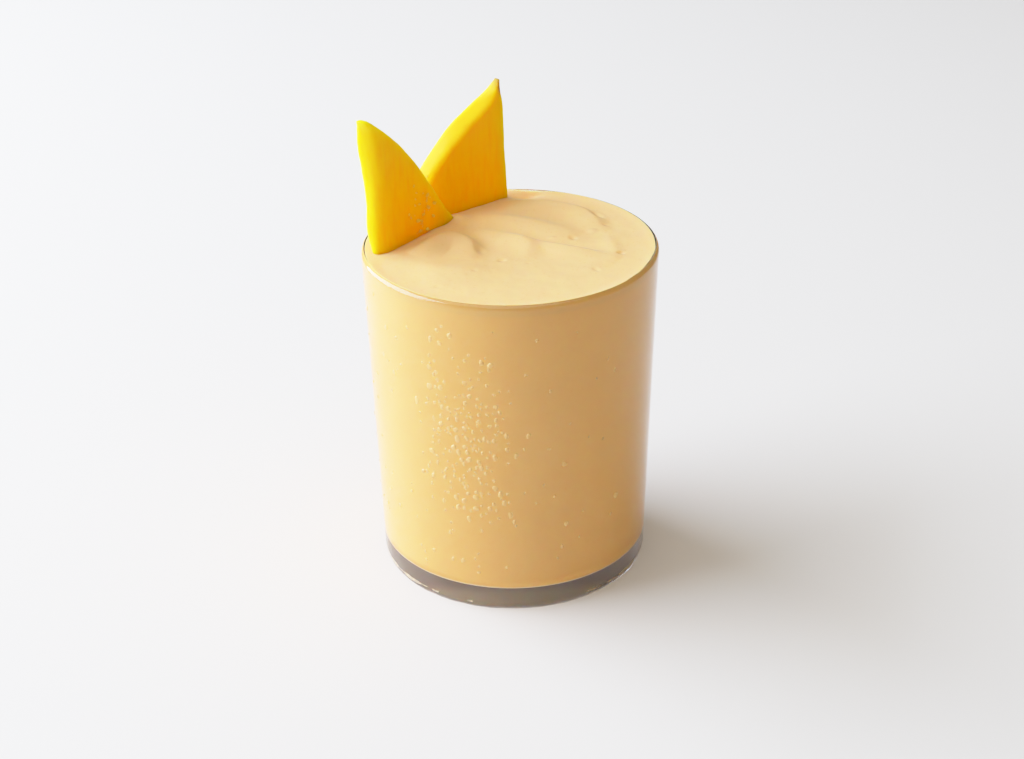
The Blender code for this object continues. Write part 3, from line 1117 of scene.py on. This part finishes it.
@dataclass
class Smoothie:
    """The drink: it fills the tumbler to the rim, and its top keeps the folds in which it was poured."""

    finish: BlendedMangoAndMilk
    glass: Tumbler
    slices: tuple[MangoSlice, ...]
    level: float
    bite: float = 0.15 * MM
    film: float = 0.005 * MM
    fold_reach: float = 9.0 * MM
    calm_edge: float = 6.0
    fold_end_shape: float = 1.0
    path_steps: int = 48
    edge_rise: float = 0.36
    edge_reach: float = 1.1
    cling_rise: float = 0.1
    cling_reach: float = 1.0
    swell_size: float = 6.5
    swell_height: float = 0.16
    ripple_size: float = 2.2
    ripple_height: float = 0.035
    seeds: Point = (1.9, 7.7)
    lip_at: float = 1.6
    lip_width: float = 0.6
    grid: int = 180
    side_rings: int = 70
    bottom_rings: int = 8
    corner_steps: int = 8

    def radius_at(self, height: float) -> float:
        """The radius of the drink's side, which reaches a little into the glass so that no air shows."""
        return self.glass.inner_radius(min(height, self.glass.height - self.film)) + self.bite

    def fold_heights(self, fold: Fold, points: np.ndarray) -> np.ndarray:
        """Works out the height that a fold gives the drink.

        Args:
            fold: The fold.
            points: Rows of x and y, in millimetres.

        Returns:
            The height at each point, in millimetres.
        """
        knots = list(range(len(fold.path)))
        at = np.linspace(0, knots[-1], self.path_steps)
        path = np.column_stack([smooth_curve(knots, [p[axis] for p in fold.path], at) for axis in (0, 1)])
        starts, steps = path[:-1], np.diff(path, axis=0)
        lengths = np.linalg.norm(steps, axis=1)
        walked = np.concatenate(([0.0], np.cumsum(lengths)))
        nearest = np.full(len(points), np.inf)
        hand = np.ones(len(points))
        along = np.zeros(len(points))
        for start, step, length, before in zip(starts, steps, lengths, walked):
            way = step / length
            offset = points - start
            t = np.clip(offset @ way, 0, length)
            away = offset - t[:, None] * way
            distance = np.hypot(away[:, 0], away[:, 1])
            closer = distance < nearest
            nearest = np.where(closer, distance, nearest)
            side = np.where(way[0] * away[:, 1] - way[1] * away[:, 0] > 0, 1.0, -1.0)
            hand = np.where(closer, side, hand)
            along = np.where(closer, (before + t) / walked[-1], along)
        ends = np.sin(math.pi * np.clip(along, 0, 1)) ** self.fold_end_shape
        near = np.exp(-((nearest / fold.near) ** 2))
        crest = (1 + fold.trough) * np.exp(-((nearest / fold.drop) ** 2))
        dropped = crest - fold.trough * np.exp(-((nearest / fold.reach) ** 2))
        return fold.height * ends * np.where(hand < 0, near, dropped)

    def relief(self, points: np.ndarray) -> np.ndarray:
        """Works out how far the drink's top stands above its level.

        Args:
            points: Rows of x and y, in millimetres.

        Returns:
            The height at each point, in millimetres.
        """
        height = sum(self.fold_heights(fold, points) for fold in FOLDS)
        for swell in SWELLS:
            scaled = (points - swell.centre) / swell.radii
            height = height + swell.height * np.exp(-(scaled**2).sum(axis=1))
        radius = np.hypot(points[:, 0], points[:, 1])
        from_rim = self.glass.rim_radius / MM - radius
        calm = np.clip(from_rim / self.calm_edge, 0, 1)
        height = np.maximum(height, 0) * calm + np.minimum(height, 0)
        for pit in PITS:
            turn = math.radians(pit.turn)
            offset = points - pit.centre
            u = (offset[:, 0] * math.cos(turn) + offset[:, 1] * math.sin(turn)) / pit.radii[0]
            v = (offset[:, 1] * math.cos(turn) - offset[:, 0] * math.sin(turn)) / pit.radii[1]
            q = np.sqrt(u**2 + v**2)
            raised = pit.depth * pit.lip * np.exp(-(((q - self.lip_at) / self.lip_width) ** 2))
            height = height - pit.depth * np.exp(-(q**2)) + raised
        flat = np.column_stack((points, np.zeros(len(points))))
        swells = noise_at(flat, self.swell_size, self.seeds[0]) * self.swell_height
        ripples = noise_at(flat, self.ripple_size, self.seeds[1]) * self.ripple_height
        height = height + (swells + ripples) * calm
        wall = np.maximum(self.radius_at(self.level) / MM - radius, 0)
        height = height + self.edge_rise * np.exp(-wall / self.edge_reach)
        for piece in self.slices:
            outline = piece.footprint()
            gap = np.min(np.linalg.norm(points[:, None, :] - outline[None, ::3, :], axis=2), axis=1)
            height = height + self.cling_rise * np.exp(-gap / self.cling_reach)
        return height

    def disc(self) -> tuple[np.ndarray, np.ndarray]:
        """Spreads a square grid evenly over a disc of radius 1.

        Returns:
            Rows of x and y, and the numbers of the points on the edge, in order round it.
        """
        steps = np.linspace(-1, 1, self.grid + 1)
        a, b = (part.ravel() for part in np.meshgrid(steps, steps))
        wide = np.abs(a) > np.abs(b)
        radius = np.where(wide, a, b)
        safe = np.where(radius == 0, 1, radius)
        angle = np.where(wide, math.pi / 4 * b / safe, math.pi / 2 - math.pi / 4 * a / safe)
        points = np.column_stack((radius * np.cos(angle), radius * np.sin(angle)))
        size = self.grid + 1
        numbers = np.arange(size * size).reshape(size, size)
        edge = np.concatenate((numbers[0, :-1], numbers[:-1, -1], numbers[-1, :0:-1], numbers[:0:-1, 0]))
        return points, edge

    def build(self) -> bpy.types.Object:
        """Makes the folded top, the side against the glass and the bottom as one closed skin.

        Returns:
            The drink, in place of its solid.
        """
        disc, edge = self.disc()
        top_radius = self.radius_at(self.level)
        flat = disc * top_radius
        lift = self.relief(flat / MM) * MM
        rim = lift[edge]
        reach = np.array([self.radius_at(self.level + rise) for rise in rim]) / top_radius
        flat[edge] *= reach[:, None]
        points = [np.column_stack((flat, self.level + lift))]
        size = self.grid + 1
        numbers = np.arange(size * size).reshape(size, size)
        quads = np.stack(
            (numbers[:-1, :-1], numbers[:-1, 1:], numbers[1:, 1:], numbers[1:, :-1]),
            axis=-1,
        )
        faces = [tuple(int(n) for n in quad) for quad in quads.reshape(-1, 4)]
        ways = disc[edge]
        lean = math.degrees(math.atan(self.glass.lean))
        corner = self.glass.inner_corner
        bottom = self.glass.base_thickness - self.bite
        middle = (self.radius_at(bottom + corner) - corner, bottom + corner)
        count = len(edge)
        rings = [[int(n) for n in edge]]
        total = size * size
        for height in np.linspace(self.level, bottom + corner, self.side_rings + 2)[1:-1]:
            held = min(1.0, max(0.0, (height - self.level + self.fold_reach) / self.fold_reach))
            heights = height + rim * held
            radii = np.array([self.radius_at(h) for h in heights])
            points.append(np.column_stack((ways * radii[:, None], heights)))
            rings.append(list(range(total, total + count)))
            total += count
        lower = arc(middle, corner, -lean, -90, self.corner_steps)
        lower += [(middle[0] * s, bottom) for s in np.linspace(1, 0, self.bottom_rings + 1)[1:-1]]
        for radius, height in lower:
            points.append(np.column_stack((ways * radius, np.full(count, height))))
            rings.append(list(range(total, total + count)))
            total += count
        points.append(np.array([[0.0, 0.0, bottom]]))
        for upper, under in zip(rings[:-1], rings[1:]):
            for i in range(count):
                j = (i + 1) % count
                faces.append((upper[j], upper[i], under[i], under[j]))
        faces += [(rings[-1][(i + 1) % count], rings[-1][i], total) for i in range(count)]
        piece = mesh_piece("blended_drink", np.vstack(points), faces, self.finish.material(), sharp=70.0)
        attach(piece, BODY)
        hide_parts("smoothie")
        return piece


@dataclass(frozen=True)
class Fleck:
    """A fleck of the drink on a slice's face: its place along and up it and its radius, in millimetres."""

    along: float
    above: float
    radius: float


@dataclass
class SplashedFlecks:
    """Flecks of the drink that splashed on a slice's face. Sizes in millimetres."""

    finish: BlendedMangoAndMilk
    on: MangoSlice
    flecks: tuple[Fleck, ...]
    seed: int = 5
    fine: int = 22
    fine_middle: Point = (16.0, 7.4)
    fine_spread: Point = (3.2, 4.2)
    fine_radii: Point = (0.14, 0.28)
    proud: float = 0.15
    flatness: float = 0.9
    lengths: Point = (1.0, 1.9)
    lumps: float = 1.3
    unevenness: float = 0.45

    def build(self) -> bpy.types.Object:
        """Makes every fleck as a flattened uneven drop, half sunk in the face.

        Returns:
            The flecks, as one piece.
        """
        draw = np.random.default_rng(self.seed)
        flecks = list(self.flecks)
        for _ in range(self.fine):
            along, above = draw.normal(self.fine_middle, self.fine_spread)
            if above > self.fine_radii[1]:
                flecks.append(Fleck(along, above, draw.uniform(*self.fine_radii)))
        along_way, back_way = (np.append(axis, 0.0) for axis in self.on.axes())
        mesh = bpy.data.meshes.new("flecks")
        bm = bmesh.new()
        for fleck in flecks:
            middle = self.on.to_world(np.array([[fleck.along, -self.proud]]), fleck.above)[0]
            long, turn = draw.uniform(*self.lengths), draw.uniform(0, math.pi)
            made = bmesh.ops.create_icosphere(bm, subdivisions=3, radius=1.0)
            for vert in made["verts"]:
                uneven = 1 + self.unevenness * noise.noise(vert.co * self.lumps + Vector(middle))
                u, v, w = vert.co.x * long * uneven, vert.co.y * uneven, vert.co.z * self.flatness
                across = u * math.cos(turn) - v * math.sin(turn)
                up = u * math.sin(turn) + v * math.cos(turn)
                place = middle + fleck.radius * (along_way * across + np.array((0, 0, up)) - back_way * w)
                vert.co = Vector(place * MM)
        bmesh.ops.recalc_face_normals(bm, faces=bm.faces)
        bm.to_mesh(mesh)
        bm.free()
        piece = place_piece("splashed_flecks", mesh, self.finish.material(), sharp=80.0)
        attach(piece, BODY)
        return piece


@dataclass
class Condensation:
    """Beads of water on the outside of the tumbler, most at the front. Sizes in millimetres and degrees."""

    finish: CondensedWater
    glass: Tumbler
    seed: int = 11
    patch_beads: int = 300
    stray_beads: int = 110
    patch_middle: Point = (-18.5, 56.0)
    patch_spread: Point = (9.5, 14.5)
    heights: Point = (12.0, 93.0)
    stray_angles: Point = (-125.0, 48.0)
    radii: Point = (0.32, 1.2)
    domes: Point = (0.16, 0.42)
    tallness: Point = (1.0, 1.35)
    skew: float = 1.3
    patch_fineness: float = 4.2
    stray_fineness: float = 6.5
    spacing: float = 1.02
    unevenness: Point = (0.13, 0.07)
    clearance: float = 0.02
    sides: int = 12
    rings: tuple[float, ...] = (1.0, 0.93, 0.74, 0.42)

    def places(self) -> list[tuple[float, float, float]]:
        """Chooses where the beads sit, none over another.

        Returns:
            For each bead its angle from the front in degrees, its height and its radius in millimetres.
        """
        draw = np.random.default_rng(self.seed)
        chosen: list[tuple[float, float, float]] = []
        arc_length = math.radians(1.0) * self.glass.outer_radius(self.glass.height / 2) / MM
        for number in range(self.patch_beads + self.stray_beads):
            patch = number < self.patch_beads
            if patch:
                angle, height = draw.normal(self.patch_middle, self.patch_spread)
            else:
                angle, height = draw.uniform(*self.stray_angles), draw.uniform(*self.heights)
            low, high = self.radii
            fineness = self.patch_fineness if patch else self.stray_fineness
            radius = low + (high - low) * draw.beta(self.skew, fineness)
            if not self.heights[0] < height < self.heights[1]:
                continue
            clear = all(
                math.hypot((angle - a) * arc_length, height - h) > (radius + r) * self.spacing
                for a, h, r in chosen
            )
            if clear:
                chosen.append((angle, height, radius))
        return chosen

    def build(self) -> bpy.types.Object:
        """Makes every bead as a low dome with an uneven outline.

        Returns:
            The beads, as one piece.
        """
        draw = np.random.default_rng(self.seed + 1)
        points = []
        faces = []
        turns = np.linspace(0, math.tau, self.sides, endpoint=False)
        for angle, height, radius in self.places():
            way = math.radians(angle)
            outward = np.array((math.sin(way), -math.cos(way), 0.0))
            sideways = np.array((math.cos(way), math.sin(way), 0.0))
            centre = outward * (self.glass.outer_radius(height * MM) / MM + self.clearance) + (0, 0, height)
            phases = draw.uniform(0, math.tau, 2)
            oval, corners = self.unevenness
            uneven = 1 + oval * np.sin(2 * turns + phases[0]) + corners * np.sin(3 * turns + phases[1])
            tall = draw.uniform(*self.tallness)
            dome = draw.uniform(*self.domes)
            start = len(points)
            for share in self.rings:
                lift = dome * radius * math.sqrt(max(1 - share**2, 0.0))
                for turn, wobble in zip(turns, uneven):
                    across = sideways * math.cos(turn) * radius * share * wobble
                    up = np.array((0, 0, math.sin(turn) * radius * share * wobble * tall))
                    points.append(centre + across + up + outward * lift)
            points.append(centre + outward * dome * radius)
            apex = len(points) - 1
            for k in range(len(self.rings) - 1):
                for i in range(self.sides):
                    j = (i + 1) % self.sides
                    a, b = start + k * self.sides, start + (k + 1) * self.sides
                    faces.append((a + i, a + j, b + j, b + i))
            last = start + (len(self.rings) - 1) * self.sides
            faces += [(last + i, last + (i + 1) % self.sides, apex) for i in range(self.sides)]
            faces.append(tuple(start + i for i in reversed(range(self.sides))))
        piece = mesh_piece("condensation", np.array(points) * MM, faces, self.finish.material(), sharp=50.0)
        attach(piece, BODY)
        return piece


@dataclass
class Studio:
    """The pale floor, the soft lights and the camera. Metres, watts and degrees."""

    floor_finish: MattePaintedBoard = field(default_factory=MattePaintedBoard)
    floor_size: float = 8.0
    eye: tuple[float, float, float] = (0.0, -0.5259, 0.3281)
    target: tuple[float, float, float] = (0.0, 0.0, 0.04985)
    roll: float = -0.88
    lens: float = 70.51
    film_white: float = 2.5
    film_shoulder: tuple[Point, ...] = (
        (0.2, 0.2),
        (0.42, 0.4),
        (0.65, 0.57),
        (1.06, 0.79),
        (1.4, 0.885),
        (1.8, 0.95),
    )
    sensor: float = 36.0
    target_pixel: Point = (512.4, 398.2)
    aim_height: float = 0.08
    near_clip: float = 0.01
    key_from: tuple[float, float, float] = (-1.1, 0.2, 0.55)
    key_size: Point = (1.6, 1.5)
    key_power: float = 83.0
    key_tint: str = "#D6E4FF"
    top_from: tuple[float, float, float] = (-0.2, -0.2, 1.6)
    top_size: float = 2.0
    top_power: float = 21.0
    room_light: float = 0.185
    room_tint: str = "#FFF4E4"

    def build_floor(self) -> bpy.types.Object:
        """Lays the floor on which the tumbler stands.

        Returns:
            The floor.
        """
        half = self.floor_size / 2
        corners = np.array([(-half, -half, 0), (half, -half, 0), (half, half, 0), (-half, half, 0)])
        floor = mesh_piece("floor", corners, [(0, 1, 2, 3)], self.floor_finish.material())
        return floor

    def add_softbox(
        self,
        name: str,
        place: Vector,
        size: Point,
        power: float,
        tint: str = "#FFFFFF",
    ) -> bpy.types.Object:
        """Hangs a softbox that faces the drink.

        Args:
            name: The light's name.
            place: Where it hangs.
            size: Its width and height.
            power: Its power in watts.
            tint: The colour of its light.

        Returns:
            The light.
        """
        light = bpy.data.lights.new(name, "AREA")
        light.shape = "RECTANGLE"
        light.size, light.size_y = size
        light.energy = power
        light.color = linear(tint)[:3]
        box = bpy.data.objects.new(name, light)
        box.location = place
        box.rotation_euler = (Vector((0, 0, self.aim_height)) - place).to_track_quat("-Z", "Y").to_euler()
        bpy.context.scene.collection.objects.link(box)
        return box

    def build_lights(self) -> None:
        """Hangs a window-like softbox low on the left and a broad one overhead, in a softly lit room."""
        self.add_softbox("key softbox", Vector(self.key_from), self.key_size, self.key_power, self.key_tint)
        square = (self.top_size, self.top_size)
        self.add_softbox("overhead softbox", Vector(self.top_from), square, self.top_power)
        world = bpy.data.worlds.new("room")
        world.use_nodes = True
        world.node_tree.nodes["Background"].inputs["Color"].default_value = linear(self.room_tint)
        world.node_tree.nodes["Background"].inputs["Strength"].default_value = self.room_light
        bpy.context.scene.world = world

    def expose_film(self) -> None:
        """Gives the picture a camera's soft shoulder: strong light eases to white and loses some colour."""
        view = bpy.context.scene.view_settings
        view.view_transform = "Standard"
        view.use_curve_mapping = True
        mapping = view.curve_mapping
        mapping.white_level = (self.film_white,) * 3
        curve = mapping.curves[3]
        for light, shown in self.film_shoulder:
            curve.points.new(light / self.film_white, shown)
        mapping.update()

    def build_camera(self) -> bpy.types.Object:
        """Sets the camera at the photograph's angle, with the same framing.

        Returns:
            The camera.
        """
        lens = bpy.data.cameras.new("camera")
        lens.lens = self.lens
        lens.sensor_width = self.sensor
        lens.shift_x = (PHOTO_WIDTH / 2 - self.target_pixel[0]) / PHOTO_WIDTH
        lens.shift_y = (self.target_pixel[1] - PHOTO_HEIGHT / 2) / PHOTO_WIDTH
        lens.clip_start = self.near_clip
        camera = bpy.data.objects.new("camera", lens)
        eye, target = Vector(self.eye), Vector(self.target)
        aim = (target - eye).to_track_quat("-Z", "Y")
        camera.location = eye
        camera.rotation_mode = "QUATERNION"
        camera.rotation_quaternion = aim @ Quaternion((0, 0, 1), math.radians(self.roll))
        bpy.context.scene.collection.objects.link(camera)
        bpy.context.scene.camera = camera
        return camera


LEFT_CUTS = (
    Cut(-11.0, 0.4, 0.4, 30.2, 4.6, 2.2, 0.6, 5.0),
    Cut(0.0, -1.8, -1.6, 29.9, 4.6, 2.4, 1.2, 5.0),
    Cut(4.6, -1.4, -2.4, 26.2, 5.8, 2.8, 1.0, 5.0),
    Cut(14.0, -1.2, -2.2, 19.8, 6.1, 3.6, 0.8, 4.0),
    Cut(24.0, -1.9, -3.2, 12.6, 6.2, 4.6, 0.5, 2.8),
    Cut(32.3, -2.4, -4.8, 4.9, 6.0, 5.2, 0.4, 2.0),
    Cut(37.2, -3.8, -5.6, -0.6, 5.2, 4.6, 0.2, 1.6),
    Cut(40.6, -6.6, -7.4, -5.2, 3.2, 3.1, 0.05, 0.8),
)
RIGHT_CUTS = (
    Cut(-11.0, -35.0, -35.0, 0.4, 5.6, 3.2, 0.3, 2.2),
    Cut(0.0, -35.0, -35.4, 0.4, 6.2, 3.3, 0.3, 2.2),
    Cut(9.0, -30.8, -31.8, 0.0, 6.4, 3.6, 0.3, 2.2),
    Cut(18.0, -23.8, -24.8, -0.5, 6.5, 3.9, 0.3, 2.2),
    Cut(26.0, -12.9, -15.9, -0.7, 6.2, 4.2, 0.3, 2.0),
    Cut(31.4, -4.9, -7.8, -1.1, 5.4, 4.4, 0.2, 1.4),
    Cut(34.6, -3.2, -3.8, -1.7, 3.9, 3.7, 0.1, 0.8),
    Cut(37.4, -2.5, -2.6, -2.0, 2.0, 1.9, 0.02, 0.3),
)
FLECKS = (
    Fleck(12.0, 16.5, 0.29),
    Fleck(17.6, 11.9, 0.40),
    Fleck(20.3, 8.6, 0.44),
    Fleck(17.1, 10.3, 0.32),
    Fleck(14.0, 10.3, 0.34),
    Fleck(17.8, 8.2, 0.44),
    Fleck(15.6, 6.7, 0.34),
    Fleck(19.8, 4.8, 0.40),
    Fleck(10.2, 7.4, 0.27),
    Fleck(13.3, 5.4, 0.48),
    Fleck(14.9, 4.8, 0.38),
    Fleck(17.2, 1.4, 0.60),
    Fleck(14.2, 2.0, 0.40),
)


def main() -> None:
    """Builds the tumbler, the slices, the drink, the flecks, the condensation and the studio."""
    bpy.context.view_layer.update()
    glass_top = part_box("glass")[1].z
    level = glass_top - 0.3 * MM
    tumbler = Tumbler(PressedSodaLimeGlass(), height=glass_top)
    left = MangoSlice(
        "slice_left",
        "mango_slice_left",
        CutMangoFlesh(outer="#FFD20C"),
        level,
        corner=(-34.7, -4.6),
        turn=50.6,
        cuts=LEFT_CUTS,
    )
    right = MangoSlice(
        "slice_right",
        "mango_slice_right",
        CutMangoFlesh(outer="#FFBE0A"),
        level,
        corner=(-0.7, 35.6),
        turn=38.8,
        cuts=RIGHT_CUTS,
        dark_edge_above=31.5,
    )
    drink_finish = BlendedMangoAndMilk(
        # Paler top and deeper side: partly the froth's own colour, partly painted light and shade
        froth="#FFC17E",
        wet="#EFB25A",
        pulp="#E9A23C",
        # Painted shade and painted light on the underside, seen through the base
        under="#D0B9A8",
        under_front_light="#FFE0BC",
        # Painted shade under the rim
        rim_shade="#E8B05C",
        bottom=tumbler.base_thickness,
        froth_from=level - 2.5 * MM,
        froth_to=level - 0.8 * MM,
        ring_height=level - 2.0 * MM,
    )
    drink = Smoothie(drink_finish, tumbler, (left, right), level)
    # A fleck is too small for light to travel far in it
    fleck_finish = replace(drink_finish, froth="#FFD74A", wet="#FFD74A", rim_shade="#FFD74A", scatter=0.08)
    flecks = SplashedFlecks(fleck_finish, left, FLECKS)
    beads = Condensation(CondensedWater(), tumbler)
    # The ground ring's pale tone is partly painted light
    foot = GroundFoot(GroundGlass(), tumbler)
    for maker in (tumbler, foot, left, right, drink, flecks, beads):
        piece = maker.build()
        log.info("%s: %d faces", piece.name, len(piece.data.polygons))
    studio = Studio()
    studio.build_floor()
    studio.build_lights()
    studio.expose_film()
    studio.build_camera()


if __name__ == "__main__":
    logging.basicConfig(level=logging.INFO, format="%(name)s: %(message)s")
    main()
